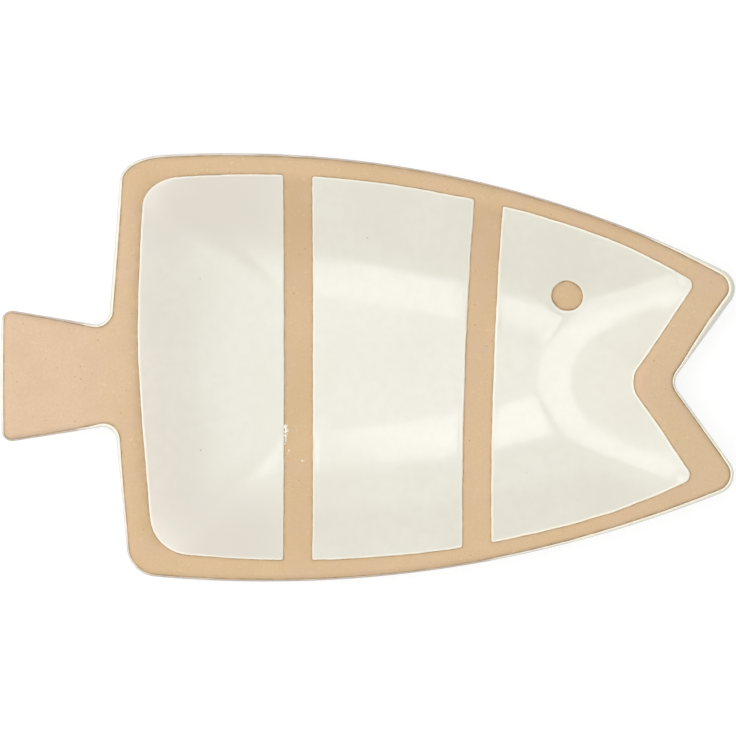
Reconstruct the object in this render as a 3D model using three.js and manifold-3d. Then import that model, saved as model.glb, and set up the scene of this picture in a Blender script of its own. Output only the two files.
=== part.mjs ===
// Fish-shaped stoneware plate with bare clay bands between glazed panels.
// Millimetres, +Z up, +X towards the open mouth.
// The clay is one pressed piece: a flat rim with the tail as its grip, a dished well and a foot ring.
// Each coat of glaze is a thin solid of its own that lies on the clay.
import * as THREE from "three";
import { mergeVertices } from "three/addons/utils/BufferGeometryUtils.js";
import Module from "manifold-3d";

// Plan of the body, taken between its sharp corners, before they are rounded
const BODY_LENGTH = 257.7; // back corners to mouth corners
const BACK_WIDTH = 173;
const BACK_SKEW = 1.6; // each back corner stands this far off square
const BACK_PEAK = 7.6; // how far the two halves of the back lean out to where they would meet
const BACK_PEAK_ACROSS = 10;
const MOUTH_WIDTH = 84;
const MOUTH_SHIFT = -6.8; // mouth centre, off the middle of the back
const NOTCH_DEPTH = 30.5;
const UPPER_BOW = 19.4; // bulge of each long side beyond its chord
const LOWER_BOW = 16.8;
const BACK_RADIUS = 11;
const TIP_RADIUS = 8.5;
const NOTCH_RADIUS = 6;

// Plan of the tail
const TAIL_REACH = 51.3; // tail end, behind the back corners
const TAIL_SHIFT = -4.1; // tail centre, off the middle of the back
const TAIL_END_WIDTH = 55.8;
const TAIL_END_BOW = 0.6;
const NECK_WIDTH = 40.8;
const TAIL_RADIUS = 4.6;
const NECK_RADIUS = 6;

// Rim section
const RIM_THICKNESS = 6.5;
const LIP_RADIUS = 2.6;
const UNDER_RADIUS = 2.4;
const SIDE_RIM = 6.2; // outer edge to the start of the well
const BACK_RIM = 6.4;
const MOUTH_RIM = 11.9;

// Well: four walls, each with its plan width, its rounding at the rim and its rounding at the floor
const WELL_DEPTH = 16.5;
const BACK_WALL = 76;
const BACK_BREAK = 7;
const BACK_COVE = 41;
const UPPER_WALL = 62;
const LOWER_WALL = 65.5;
const SIDE_BREAK = 4.5;
const UPPER_COVE = 32;
const LOWER_COVE = 36;
const MOUTH_WALL = 47;
const MOUTH_BREAK = 3;
const MOUTH_COVE = 19.5;
const BACK_VALLEY = 10; // rounding where the back and the mouth meet the sides
const MOUTH_VALLEY = 13;
const VALLEY_START = 1.5; // drop below the rim at which a valley is half rounded
const WELL_BACK_RADIUS = 21;
const WELL_TIP_RADIUS = 7;
const WELL_NOTCH_RADIUS = 10;
const FLOOR_START = 79; // level floor, from the back corners
const FLOOR_LENGTH = 60;
const FLOOR_WIDTH = 36;
const FLOOR_END_WIDTH = 19;
const FLOOR_RADIUS = 6;

// Foot ring
const FOOT_HEIGHT = 2; // floor of the plate clear of the table
const FOOT_SETBACK = 37; // start of the well to the outside of the foot, along the upper wall
const FOOT_WIDTH = 6;
const FOOT_CHAMFER = 0.8;

// Glaze
const GLAZE = 0.5;
const BOND = 0.05; // space left between clay and coat
const GLAZE_SETBACK = 3; // bare clay carried over into the well
const LIP_GLAZE_ANGLE = 58; // how far up the rounded lip the outer coat climbs
const FOOT_BARE = 1.2; // clay left dry above the table
const BASE_BARE = 2; // clay left dry inside the foot

// Bare bands and eye, placed from the back corners
const BAND_WIDTH = 11.9;
const TAIL_BAND = 72;
const HEAD_BAND = 148.7;
const HEAD_BAND_LEAN = 2; // degrees
const EYE_ALONG = 184;
const EYE_ACROSS = 29.6;
const EYE_DIAMETER = 12.3;

// Steps along the curves
const SIDE_STEPS = 16;
const BACK_STEPS = 10;
const MOUTH_STEPS = 6;
const TAIL_STEPS = 2;
const CORNER_STEPS = 5;
const SLOPE_STEPS = 10;
const UNDER_STEPS = 4;
const RECESS_STEPS = 2;
const THROAT_STEPS = 12;
const WALL_EDGE_STEPS = 60;
const EYE_STEPS = 28;
const ROUNDING_SHARE = 0.48; // most of an edge or wall that one rounding takes

const HEIGHT = FOOT_HEIGHT + RIM_THICKNESS + WELL_DEPTH;

const wasm = await Module();
wasm.setup();

const vec = (x, y) => new THREE.Vector2(x, y);
const heading = (from, to) => to.clone().sub(from).normalize();
const leftOf = (along) => vec(-along.y, along.x);
const after = (list, i) => list[(i + 1) % list.length];
const before = (list, i) => list[(i + list.length - 1) % list.length];

// Control point of an edge that bulges outwards from its chord, on a counterclockwise outline
function bowed(from, to, bow) {
  const middle = from.clone().lerp(to, 0.5);
  return middle.addScaledVector(leftOf(heading(from, to)), -2 * bow);
}

// Where the line through two points passes a given height across the plate
function crossing(from, to, y) {
  return from.clone().lerp(to, (y - from.y) / (to.y - from.y));
}

// Tangents at both ends of the edge that leaves corner i
function tangents(outline, i) {
  const { at, control } = outline[i];
  return [heading(at, control), heading(control, after(outline, i).at)];
}

// Where the tangents at both ends of an edge meet, or its middle when it is straight
function meeting(from, fromWay, to, toWay) {
  const turn = fromWay.cross(toWay);
  if (Math.abs(turn) < 1e-6) return from.clone().lerp(to, 0.5);
  return from.clone().addScaledVector(fromWay, to.clone().sub(from).cross(toWay) / turn);
}

// The outline moved inwards by one distance for each edge, with new corner radii
function inset(outline, distances, radii) {
  const ways = outline.map((_, i) => tangents(outline, i));
  const moved = outline.map(({ at }, i) => {
    const [arriving, leaving] = [before(ways, i)[1], ways[i][0]];
    const mitre = leaving.clone().multiplyScalar(before(distances, i));
    mitre.addScaledVector(arriving, -distances[i]).divideScalar(arriving.cross(leaving));
    return at.clone().add(mitre);
  });
  return outline.map((corner, i) => {
    const control = meeting(moved[i], ways[i][0], after(moved, i), ways[i][1]);
    return { ...corner, at: moved[i], control, radius: radii[i] };
  });
}

// Points round an outline, every corner rounded as far as its edges have room
function trace(outline) {
  const edges = outline.map(({ at, control }, i) => {
    return new THREE.QuadraticBezierCurve(at, control, after(outline, i).at);
  });
  const trims = outline.map(({ radius }, i) => {
    const turn = before(edges, i).getTangent(1).angleTo(edges[i].getTangent(0));
    const room = ROUNDING_SHARE * Math.min(before(edges, i).getLength(), edges[i].getLength());
    return Math.min(radius * Math.tan(turn / 2), room);
  });
  const points = [];
  outline.forEach(({ steps }, i) => {
    const [arriving, leaving] = [before(edges, i), edges[i]];
    const stop = 1 - trims[i] / arriving.getLength();
    const start = trims[i] / leaving.getLength();
    const finish = 1 - after(trims, i) / leaving.getLength();
    const [from, to] = [arriving.getPoint(stop), leaving.getPoint(start)];
    const [fromWay, toWay] = [arriving.getTangent(stop), leaving.getTangent(start)];
    const turn = fromWay.angleTo(toWay);
    const handle = (2 / 3) * Math.tan(turn / 4) / Math.sin(turn / 2) * from.distanceTo(to);
    const round = new THREE.CubicBezierCurve(
      from,
      from.clone().addScaledVector(fromWay, handle),
      to.clone().addScaledVector(toWay, -handle),
      to,
    );
    points.push(...round.getPoints(CORNER_STEPS).slice(0, -1));
    for (let k = 0; k < steps; k += 1) {
      points.push(leaving.getPoint(start + (finish - start) * k / steps));
    }
  });
  return points;
}

// Points of a loop moved inwards along their normals
function pushed(points, distance) {
  return points.map((point, i) => {
    const normal = leftOf(heading(before(points, i), after(points, i)));
    return point.clone().addScaledVector(normal, distance);
  });
}

const raised = (points, z) => points.map((point) => new THREE.Vector3(point.x, point.y, z));
const shifted = (ring, dz) => ring.map((point) => point.clone().setZ(point.z + dz));

// Corners of the plate, counterclockwise from the upper back corner
const backUpper = vec(-BACK_SKEW, BACK_WIDTH / 2);
const backLower = vec(BACK_SKEW, -BACK_WIDTH / 2);
const backPeak = vec(-BACK_PEAK, BACK_PEAK_ACROSS);
const mouthLower = vec(BODY_LENGTH, MOUTH_SHIFT - MOUTH_WIDTH / 2);
const mouthUpper = vec(BODY_LENGTH, MOUTH_SHIFT + MOUTH_WIDTH / 2);
const notch = vec(BODY_LENGTH - NOTCH_DEPTH, MOUTH_SHIFT);
const neckUpper = crossing(backUpper, backPeak, TAIL_SHIFT + NECK_WIDTH / 2);
const neckLower = crossing(backLower, backPeak, TAIL_SHIFT - NECK_WIDTH / 2);
const tailUpper = vec(-TAIL_REACH, TAIL_SHIFT + TAIL_END_WIDTH / 2);
const tailLower = vec(-TAIL_REACH, TAIL_SHIFT - TAIL_END_WIDTH / 2);

const edge = (at, to, radius, steps, bow = 0) => ({ at, radius, steps, control: bowed(at, to, bow) });
const headEdges = [
  edge(backLower, mouthLower, BACK_RADIUS, SIDE_STEPS, LOWER_BOW),
  edge(mouthLower, notch, TIP_RADIUS, MOUTH_STEPS),
  edge(notch, mouthUpper, NOTCH_RADIUS, MOUTH_STEPS),
  edge(mouthUpper, backUpper, TIP_RADIUS, SIDE_STEPS, UPPER_BOW),
];
const bodyOutline = [
  { at: backUpper, radius: BACK_RADIUS, steps: BACK_STEPS, control: backPeak },
  ...headEdges,
];
const plateOutline = [
  edge(backUpper, neckUpper, BACK_RADIUS, TAIL_STEPS),
  edge(neckUpper, tailUpper, NECK_RADIUS, TAIL_STEPS),
  edge(tailUpper, tailLower, TAIL_RADIUS, TAIL_STEPS, TAIL_END_BOW),
  edge(tailLower, neckLower, TAIL_RADIUS, TAIL_STEPS),
  edge(neckLower, backLower, NECK_RADIUS, TAIL_STEPS),
  ...headEdges,
];

// Distances are given for the back, the sides and the mouth, radii for the back, the tips and the notch
const byEdge = (back, side, mouth) => [back, side, mouth, mouth, side];
const byCorner = (back, tip, angle) => [back, back, tip, angle, tip];
const plateEdge = trace(plateOutline);
const clayEdge = pushed(plateEdge, BOND + GLAZE); // the outer coat brings the clay out to the plate's edge
const inWell = (setback) => inset(
  bodyOutline,
  byEdge(BACK_RIM + setback, SIDE_RIM + setback, MOUTH_RIM + setback),
  byCorner(WELL_BACK_RADIUS, WELL_TIP_RADIUS, WELL_NOTCH_RADIUS),
);
const wellOutline = inWell(0);
const wellPoints = trace(wellOutline);
const glazePoints = trace(inWell(GLAZE_SETBACK));

// The level floor is four-sided, its end as many steps long as the mouth's two edges and their corner
const floorEnd = FLOOR_START + FLOOR_LENGTH;
const floorCorners = [
  vec(FLOOR_START, FLOOR_WIDTH / 2),
  vec(FLOOR_START, -FLOOR_WIDTH / 2),
  vec(floorEnd, -FLOOR_END_WIDTH / 2),
  vec(floorEnd, FLOOR_END_WIDTH / 2),
];
const floorSteps = [BACK_STEPS, SIDE_STEPS, 2 * MOUTH_STEPS + CORNER_STEPS, SIDE_STEPS];
const floorPoints = trace(floorCorners.map((at, i) => {
  return edge(at, after(floorCorners, i), FLOOR_RADIUS, floorSteps[i]);
}));

const flat = (point) => new THREE.Vector3(point.x, point.y, 0);

// A wall of the well: the drop below the rim at any plan point, from how far it lies from the wall's own edge
function wall(points, width, breakReach, cove) {
  const lines = points.slice(1).map((point, i) => new THREE.Line3(flat(points[i]), flat(point)));
  const section = new THREE.CubicBezierCurve(
    vec(0, 0),
    vec(breakReach, 0),
    vec(width - cove, WELL_DEPTH),
    vec(width, WELL_DEPTH),
  );
  const nearest = new THREE.Vector3();
  return (point) => {
    const at = flat(point);
    const gaps = lines.map((line) => line.closestPointToPoint(at, true, nearest).distanceTo(at));
    const distance = Math.min(...gaps);
    let [low, high] = [0, 1];
    for (let i = 0; i < 40; i += 1) {
      const middle = (low + high) / 2;
      if (section.getPoint(middle).x < distance) low = middle;
      else high = middle;
    }
    return section.getPoint(high).y;
  };
}

// Two walls meet in a valley, rounded most half way down and not at all at the rim and the floor
function valley(dropA, dropB, rounding) {
  const [aboveA, aboveB] = [WELL_DEPTH - dropA, WELL_DEPTH - dropB];
  const lower = Math.min(dropA, dropB);
  if (lower <= 0 || aboveA <= 0 || aboveB <= 0) return lower;
  const above = 2 * aboveA * aboveB / (aboveA + aboveB) / WELL_DEPTH;
  const below = (dropA + dropB) / (dropA + dropB + 2 * VALLEY_START);
  return (dropA + dropB - Math.hypot(dropA - dropB, rounding * above * below)) / 2;
}

const wellEdge = (i) => {
  const { at, control } = wellOutline[i];
  return new THREE.QuadraticBezierCurve(at, control, after(wellOutline, i).at).getPoints(WALL_EDGE_STEPS);
};
const [, , lowerTip, throatCorner, upperTip] = wellOutline.map(({ at }) => at);
const throatTurn = heading(lowerTip, throatCorner).angleTo(heading(throatCorner, upperTip));
const throatTrim = WELL_NOTCH_RADIUS * Math.tan(throatTurn / 2);
const throat = new THREE.QuadraticBezierCurve(
  throatCorner.clone().addScaledVector(heading(throatCorner, lowerTip), throatTrim),
  throatCorner,
  throatCorner.clone().addScaledVector(heading(throatCorner, upperTip), throatTrim),
);
const backWall = wall(wellEdge(0), BACK_WALL, BACK_BREAK, BACK_COVE);
const lowerWall = wall(wellEdge(1), LOWER_WALL, SIDE_BREAK, LOWER_COVE);
const upperWall = wall(wellEdge(4), UPPER_WALL, SIDE_BREAK, UPPER_COVE);
const mouthLine = [lowerTip, ...throat.getPoints(THROAT_STEPS), upperTip];
const mouthWall = wall(mouthLine, MOUTH_WALL, MOUTH_BREAK, MOUTH_COVE);

function dropAt(point) {
  const sides = Math.min(lowerWall(point), upperWall(point));
  const behind = valley(sides, backWall(point), BACK_VALLEY);
  return Math.max(valley(behind, mouthWall(point), MOUTH_VALLEY), 0);
}

const sunk = (points) => points.map((point) => flat(point).setZ(HEIGHT - dropAt(point)));
const between = (from, to, share) => from.map((point, i) => point.clone().lerp(to[i], share));

const evenly = (from, to, count) => Array.from({ length: count + 1 }, (_, k) => from + (to - from) * k / count);

// Underside of the well, and the foot ring at plan distances taken along the upper wall
const underPlan = (distance) => between(wellPoints, floorPoints, distance / UPPER_WALL);
const underRing = (distance) => shifted(sunk(underPlan(distance)), -RIM_THICKNESS);
const footRing = (distance, z) => raised(underPlan(distance), z);

// Rings round the rim, grown outwards by a coat: the rounded underside edge, then the rounded lip
const lipRadius = Math.min(LIP_RADIUS, ROUNDING_SHARE * RIM_THICKNESS);
const underRadius = Math.min(UNDER_RADIUS, ROUNDING_SHARE * RIM_THICKNESS);
function rimRing(radius, centre, degrees, grown) {
  const angle = THREE.MathUtils.degToRad(degrees);
  const plan = pushed(clayEdge, radius - (radius + grown) * Math.cos(angle));
  return raised(plan, centre + (radius + grown) * Math.sin(angle));
}
const underEdge = (degrees, grown) => {
  return rimRing(underRadius, HEIGHT - RIM_THICKNESS + underRadius, degrees, grown);
};
const lipEdge = (degrees, grown) => rimRing(lipRadius, HEIGHT - lipRadius, degrees, grown);
const sideRings = (grown) => [
  ...[-90, -45, 0].map((degrees) => underEdge(degrees, grown)),
  ...[0, LIP_GLAZE_ANGLE / 2, LIP_GLAZE_ANGLE].map((degrees) => lipEdge(degrees, grown)),
];

// Triangles of a flat face between two rings, or of one ring alone, facing up
function flatFace(outer, inner) {
  return THREE.ShapeUtils.triangulateShape(outer.slice(), inner ? [inner.slice()] : []);
}

const planGap = (a, b) => Math.hypot(a.x - b.x, a.y - b.y);

// A closed skin through a list of rings that runs from the underside, out over the edge and back in on top.
// Two rings with different counts are joined by a flat face, and a hoop closes on its first ring.
// Every four-sided face is cut along its shorter diagonal, so that clay and coat are cut alike.
function skin(rings, hoop = false) {
  const starts = [];
  let count = 0;
  rings.forEach((ring) => {
    starts.push(count);
    count += ring.length;
  });
  const triangles = [];
  const span = (i, j) => {
    const [from, to] = [rings[i], rings[j]];
    const n = from.length;
    if (n === to.length) {
      for (let k = 0; k < n; k += 1) {
        const next = (k + 1) % n;
        const [a, b, c, d] = [starts[i] + k, starts[i] + next, starts[j] + next, starts[j] + k];
        const straight = planGap(from[k], to[next]) < planGap(from[next], to[k]);
        triangles.push(...(straight ? [[a, b, c], [a, c, d]] : [[a, b, d], [b, c, d]]));
      }
      return;
    }
    const outwards = n < to.length;
    const [wide, narrow] = outwards ? [j, i] : [i, j];
    flatFace(rings[wide], rings[narrow]).forEach((face) => {
      const corners = face.map((v) => {
        const spare = v - rings[wide].length;
        return spare < 0 ? starts[wide] + v : starts[narrow] + spare;
      });
      triangles.push(outwards ? corners.reverse() : corners);
    });
  };
  for (let i = 0; i + 1 < rings.length; i += 1) span(i, i + 1);
  const last = rings.length - 1;
  if (hoop) {
    span(last, 0);
  } else {
    flatFace(rings[0]).forEach(([a, b, c]) => triangles.push([c, b, a]));
    flatFace(rings[last]).forEach((face) => triangles.push(face.map((v) => v + starts[last])));
  }
  const geometry = new THREE.BufferGeometry();
  geometry.setFromPoints(rings.flat());
  geometry.setIndex(triangles.flat());
  return geometry;
}

// Stoneware body
const footOuter = FOOT_SETBACK;
const footInner = FOOT_SETBACK + FOOT_WIDTH;
const baseEdge = footInner + BASE_BARE;
const bowl = [
  ...evenly(footOuter, 0, UNDER_STEPS).slice(0, -1).map(underRing),
  raised(wellPoints, HEIGHT - RIM_THICKNESS),
];
const floorLevel = HEIGHT - WELL_DEPTH;
const recess = [
  raised(floorPoints, floorLevel - RIM_THICKNESS),
  ...evenly(UPPER_WALL, baseEdge, RECESS_STEPS).slice(1).map(underRing),
];
const slopeShares = evenly(0, 1, SLOPE_STEPS).slice(0, -1);
const slope = [
  ...slopeShares.map((share) => sunk(between(glazePoints, floorPoints, share))),
  raised(floorPoints, floorLevel),
];
const body = skin([
  ...recess,
  underRing(footInner),
  footRing(footInner, FOOT_CHAMFER),
  footRing(footInner - FOOT_CHAMFER, 0),
  footRing(footOuter + FOOT_CHAMFER, 0),
  footRing(footOuter, FOOT_CHAMFER),
  ...bowl,
  ...sideRings(0),
  lipEdge(90, 0),
  raised(wellPoints, HEIGHT),
  ...slope,
]);

// Coat over the well, cut into panels by the bare bands
const wellCoat = skin([
  ...slope.map((ring) => shifted(ring, BOND)).reverse(),
  ...slope.map((ring) => shifted(ring, BOND + GLAZE)),
]);

// Coat over the rim's outside and the underside, down to the foot
const outsideSkin = (grown) => {
  const plan = underPlan(footOuter - grown);
  return [
    raised(plan, FOOT_BARE),
    plan.map((point, i) => flat(point).setZ(bowl[0][i].z - grown)),
    ...bowl.slice(1).map((ring) => shifted(ring, -grown)),
    ...sideRings(grown),
  ];
};
const outsideCoat = skin([...outsideSkin(BOND + GLAZE), ...outsideSkin(BOND).reverse()], true);

// Coat over the recess inside the foot
const baseCoat = skin([
  ...recess.map((ring) => shifted(ring, -BOND - GLAZE)),
  ...recess.map((ring) => shifted(ring, -BOND)).reverse(),
]);

function toSolid(geometry) {
  const bare = geometry.clone();
  bare.deleteAttribute("normal");
  bare.deleteAttribute("uv");
  const merged = mergeVertices(bare, 1e-4);
  return new wasm.Manifold(new wasm.Mesh({
    numProp: 3,
    vertProperties: Float32Array.from(merged.attributes.position.array),
    triVerts: Uint32Array.from(merged.index.array),
  }));
}

function toGeometry(solid) {
  const { vertProperties, triVerts } = solid.getMesh();
  const geometry = new THREE.BufferGeometry();
  geometry.setAttribute("position", new THREE.BufferAttribute(vertProperties, 3));
  geometry.setIndex(new THREE.BufferAttribute(triVerts, 1));
  return geometry;
}

// The part of the well coat between two lines across the plate, each given by its place and its lean
function panel(from, to) {
  const lineEnd = ({ along, lean }, y) => vec(along + y * Math.tan(THREE.MathUtils.degToRad(lean)), y);
  const reach = BACK_WIDTH;
  const plan = [lineEnd(from, -reach), lineEnd(to, -reach), lineEnd(to, reach), lineEnd(from, reach)];
  const strip = new THREE.ExtrudeGeometry(new THREE.Shape(plan), { depth: 2 * HEIGHT, bevelEnabled: false });
  return toSolid(wellCoat).intersect(toSolid(strip));
}

const bandEdge = (along, side, lean = 0) => ({ along: along + side * BAND_WIDTH / 2, lean });
const tailPanel = panel(bandEdge(-BODY_LENGTH, 0), bandEdge(TAIL_BAND, -1));
const middlePanel = panel(bandEdge(TAIL_BAND, 1), bandEdge(HEAD_BAND, -1, HEAD_BAND_LEAN));
const eye = new THREE.CylinderGeometry(EYE_DIAMETER / 2, EYE_DIAMETER / 2, 2 * HEIGHT, EYE_STEPS);
eye.rotateX(Math.PI / 2).translate(EYE_ALONG, EYE_ACROSS, HEIGHT);
const headPanel = panel(bandEdge(HEAD_BAND, 1, HEAD_BAND_LEAN), bandEdge(2 * BODY_LENGTH, 0))
  .subtract(toSolid(eye));

// The finished plate stands on its foot with the middle of its outline at the origin
const clay = { color: 0xdcbf99, roughness: 0.85, metalness: 0 };
const cream = { color: 0xebe8dc, roughness: 0.22, metalness: 0 };
const outlineBox = new THREE.Box2().setFromPoints(plateEdge);
const middle = outlineBox.getCenter(vec(0, 0));
const plate = new THREE.Group();
plate.name = "fish_shaped_plate";

function addPiece(name, geometry, finish) {
  geometry.translate(-middle.x, -middle.y, 0);
  geometry.computeVertexNormals();
  const mesh = new THREE.Mesh(geometry, new THREE.MeshStandardMaterial(finish));
  mesh.name = name;
  plate.add(mesh);
}

addPiece("stoneware_body", body, clay);
addPiece("glaze_tail_panel", toGeometry(tailPanel), cream);
addPiece("glaze_middle_panel", toGeometry(middlePanel), cream);
addPiece("glaze_head_panel", toGeometry(headPanel), cream);
addPiece("glaze_outside", outsideCoat, cream);
addPiece("glaze_base", baseCoat, cream);

export default plate;
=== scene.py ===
import math
from collections import namedtuple

import bmesh
import bpy
import numpy as np
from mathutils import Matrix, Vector, noise
from mathutils.geometry import delaunay_2d_cdt


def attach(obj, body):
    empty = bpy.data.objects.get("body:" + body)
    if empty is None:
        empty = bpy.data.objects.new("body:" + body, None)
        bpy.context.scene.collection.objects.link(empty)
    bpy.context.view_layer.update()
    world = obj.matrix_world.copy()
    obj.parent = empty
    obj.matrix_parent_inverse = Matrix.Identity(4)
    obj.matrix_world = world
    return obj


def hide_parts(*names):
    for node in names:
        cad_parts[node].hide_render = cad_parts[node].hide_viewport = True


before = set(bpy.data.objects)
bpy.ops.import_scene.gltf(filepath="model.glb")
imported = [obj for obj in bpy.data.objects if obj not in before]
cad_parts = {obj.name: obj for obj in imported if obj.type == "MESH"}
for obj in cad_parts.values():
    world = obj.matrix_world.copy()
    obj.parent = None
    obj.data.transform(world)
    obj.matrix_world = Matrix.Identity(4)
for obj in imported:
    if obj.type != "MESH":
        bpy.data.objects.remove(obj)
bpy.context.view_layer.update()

MM = 0.001

# Sizes of the plate in millimetres, the same as in the part's source
BODY_LENGTH, BACK_WIDTH, BACK_SKEW = 257.7, 173, 1.6
BACK_PEAK, BACK_PEAK_ACROSS = 7.6, 10
MOUTH_WIDTH, MOUTH_SHIFT, NOTCH_DEPTH = 84, -6.8, 30.5
UPPER_BOW, LOWER_BOW = 19.4, 16.8
BACK_RADIUS, TIP_RADIUS, NOTCH_RADIUS = 11, 8.5, 6
TAIL_REACH, TAIL_SHIFT, TAIL_END_WIDTH, TAIL_END_BOW = 51.3, -4.1, 55.8, 0.6
NECK_WIDTH, TAIL_RADIUS, NECK_RADIUS = 40.8, 4.6, 6
RIM_THICKNESS, LIP_RADIUS, UNDER_RADIUS = 6.5, 2.6, 2.4
SIDE_RIM, BACK_RIM, MOUTH_RIM = 6.2, 6.4, 11.9
WELL_DEPTH = 16.5
BACK_WALL, BACK_BREAK, BACK_COVE = 76, 7, 41
UPPER_WALL, LOWER_WALL, SIDE_BREAK, UPPER_COVE, LOWER_COVE = 62, 65.5, 4.5, 32, 36
MOUTH_WALL, MOUTH_BREAK, MOUTH_COVE = 47, 3, 19.5
BACK_VALLEY, MOUTH_VALLEY, VALLEY_START = 10, 13, 1.5
WELL_BACK_RADIUS, WELL_TIP_RADIUS, WELL_NOTCH_RADIUS = 21, 7, 10
FLOOR_START, FLOOR_LENGTH, FLOOR_WIDTH, FLOOR_END_WIDTH, FLOOR_RADIUS = 79, 60, 36, 19, 6
FOOT_HEIGHT, FOOT_SETBACK, FOOT_WIDTH, FOOT_ROUNDING = 2, 37, 6, 0.8
GLAZE, BOND, GLAZE_SETBACK = 0.5, 0.05, 3
FOOT_BARE, BASE_BARE = 1.2, 2
BAND_WIDTH, TAIL_BAND, HEAD_BAND, HEAD_BAND_LEAN = 11.9, 72, 148.7, 2
EYE_ALONG, EYE_ACROSS, EYE_DIAMETER = 184, 29.6, 12.3
MIDDLE = np.array([100.79, -0.54])  # middle of the outline, from the middle of the back
HEIGHT = FOOT_HEIGHT + RIM_THICKNESS + WELL_DEPTH

# Finer detail that only the looks need
HEAD_BAND_BOW, BOW_REACH, BOW_SPAN = 0.7, 30, 60  # the second band bows towards the tail
MENISCUS = 0.6  # width over which a coat swells from its edge
BEAD_RISE, BEAD_PLACE, BEAD_WIDTH = 0.1, 1.1, 0.7  # slight bead of a coat behind its edge
EDGE_TUCK = 0.1  # how deep the edge of a coat starts in the clay
HIGHLIGHT_WIDTH, HIGHLIGHT_FADE = 0.5, 0.4  # painted highlight: a pale line along the edge of a coat
HIGHLIGHT_LEAST, HIGHLIGHT_FROM, HIGHLIGHT_RUN = 0.5, 20, 50  # the painted highlight gets stronger towards the mouth
HIGHLIGHT_BY_EYE, FLECK_PALE = 2, 0.7  # it is weakest this close to the eye; how pale the crumbs are
# Dark line and wider haze on the clay beside a coat: strength and fade. Near the back the wider haze is
# painted shade of the rim's inner rounding
EYE_LINE, PANEL_LINE, LIP_LINE = (1.5, 0.45), (1, 0.3), (1.5, 0.45)
EYE_HAZE, BACK_SHADE, BACK_SHADE_FADE = (0.22, 1.2), 0.38, 2.2
BACK_SHADE_FROM, BACK_SHADE_RUN = -75, 20  # the painted shade grows from here towards the back
EDGE_WAVER = 0.16  # how far the waxed edges wander
# Waves of an edge or surface: share, size of the humps, seed
WAX_WAVES = (1, 9, 3.1), (0.6, 3.2, 7.7), (0.35, 1.1, 1.9)
LIP_WAVES = (0.1, 8, 5.3), (0.05, 2, 9.4)
GLAZE_WAVES = (0.035, 24, 2.2), (0.012, 9, 6.1)
WAVES_FULL = 4  # distance from the edge of a coat at which its waves have their full size
LEAST_COAT = 0.12  # narrowest width of the outer coat on the lip
THIN_COAT, THIN_FADE = 0.75, 0.45  # a narrower coat than this is also thin
# Where the outer coat ends at the foot: share of its thickness, height above its edge
SKIRT_EDGE = (1, 0.5), (0.8, 0.2), (0, 0)
GLAZE_UPPER_RADIUS, GLAZE_LOWER_RADIUS, GLAZE_TIP_RADIUS = 16, 17, 4  # corners of the waxed edge
UPPER_SOFTNESS, LOWER_SOFTNESS = 4.5, 2  # the back corners of the fired plate are rounder than drawn
UPPER_LEAN = 0.28  # the upper one reaches further along the side than along the back
BAND_SHIFT = -0.3  # both bands sit a little towards the tail
VALLEY_TAPER = 0.85  # how much of the drop a valley's rounding may take up near the rim
# The waxed eye is a little larger than drawn and not quite round
EYE_GROWTH, EYE_STRETCH, EYE_TURN, EYE_SHIFT = 1.04, 0.045, -38, (0.35, -0.3)
# Width of the outer coat on the lip: at each corner and at three places along the edge after it
LIP_COAT = (
    0.55, 0.8, 1.0, 1.1,  # back, upper half
    1.0, 0.3, 0.15, 0.15,  # tail, upper side
    0.2, 0.7, 0.8, 0.7,  # tail end
    0.2, 0.15, 0.15, 0.4,  # tail, lower side
    1.6, 0.8, 0.6, 0.55,  # back, lower half
    0.4, 0.3, 0.15, 1.0,  # lower side
    1.2, 0.8, 0.6, 0.5,  # mouth, lower half
    0.6, 1.0, 2.2, 2.5,  # mouth, upper half
    2.3, 0.25, 0.15, 0.4,  # upper side
)
# How far the waxed edge of the well wanders inwards, in the same order of places
WAX_LINE = (
    0.9, 0.7, 0.0, 1.3,  # back
    1.5, 0.7, 0.1, -0.5,  # lower side
    1.5, 0.9, 0.3, 0.1,  # mouth, lower half
    -0.1, 0.0, 0.5, 1.2,  # mouth, upper half
    1.5, -0.9, 0.5, 0.3,  # upper side
)
# Crumbs of glaze at the first band: place along and across, radius, height they sit at
FLECKS = (
    (-34.4, -25.2, 1.1, 0.1), (-34.2, -26.9, 0.9, 0.1), (-33.8, -27.9, 0.4, 0), (-34.6, -28.8, 0.75, 0.1),
    (-34.4, -30.6, 0.6, 0.05), (-34.8, -32.1, 0.4, 0.05), (-33.0, -34.9, 0.42, 0), (-33.6, -36.1, 0.2, 0),
    (-27.5, -39.2, 0.45, 0), (-26.7, -39.3, 0.2, 0),
    (-42.9, -26.9, 0.22, 0.42), (-41.6, -26.3, 0.3, 0.42),
    (-40.8, -26.0, 0.25, 0.42), (-40.3, -25.3, 0.2, 0.42))
# Section of a crumb, from its edge to its top: share of the radius and of the height
FLECK_SECTION = (1, -0.1), (0.95, 0.12), (0.75, 0.3), (0.4, 0.42), (0.02, 0.45)
FLECK_TALLEST = 0.7  # radius from which crumbs get no taller

# Fineness of the meshes
SIDE_STEPS, BACK_STEPS, SHORT_STEPS, CORNER_STEPS = 120, 70, 30, 16
WALL_EDGE_STEPS, THROAT_STEPS, SECTION_STEPS = 240, 24, 2001
EYE_STEPS, FLECK_STEPS, BOWL_RINGS, RECESS_RINGS = 120, 16, 25, 17
EDGE_SPACING = 0.5  # between the points of a waxed edge
TOP_SPACING, HIDDEN_SPACING, PANEL_SPACING = 1.5, 3.5, 1.6  # on bare clay, on clay under glaze, on glaze
UNDER_SPACING, RECESS_SPACING, COAT_SPACING = 5, 6, 4  # clay under the rim and in the foot, and its coats
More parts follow.
